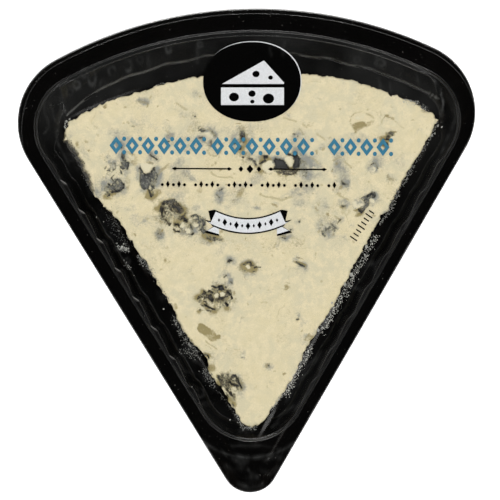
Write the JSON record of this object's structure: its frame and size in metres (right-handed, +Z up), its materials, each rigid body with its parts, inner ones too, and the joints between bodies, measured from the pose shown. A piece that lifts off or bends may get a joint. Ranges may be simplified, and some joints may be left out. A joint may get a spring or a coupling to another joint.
{
  "type": "packed blue cheese wedge",
  "caption": "Wedge of creamy blue-veined cheese sealed in a black formed wedge tray under a clear printed lidding film with a peel tab at its point.",
  "frame": {"origin": "middle of the base, under the middle of the pack's outline, on the surface it lies on", "axes": "+Z up through the film, +Y from the wedge's point to its round side, +X to the right seen from above"},
  "size_m": [0.1272, 0.1344, 0.0184],
  "materials": {
    "tray": "black formed plastic sheet, glossy, with faint stretch marks on the walls",
    "cheese": "soft creamy ivory cheese with slate grey and blue-green mould in open pockets, slightly moist",
    "lid_film": "thin clear glossy film, sealed on the flange, with fields of black, blue and pale grey print"
  },
  "bodies": {
    "root": {"tray": "tray", "cheese": "cheese", "lid_film": "lid_film"}
  },
  "joints": []
}
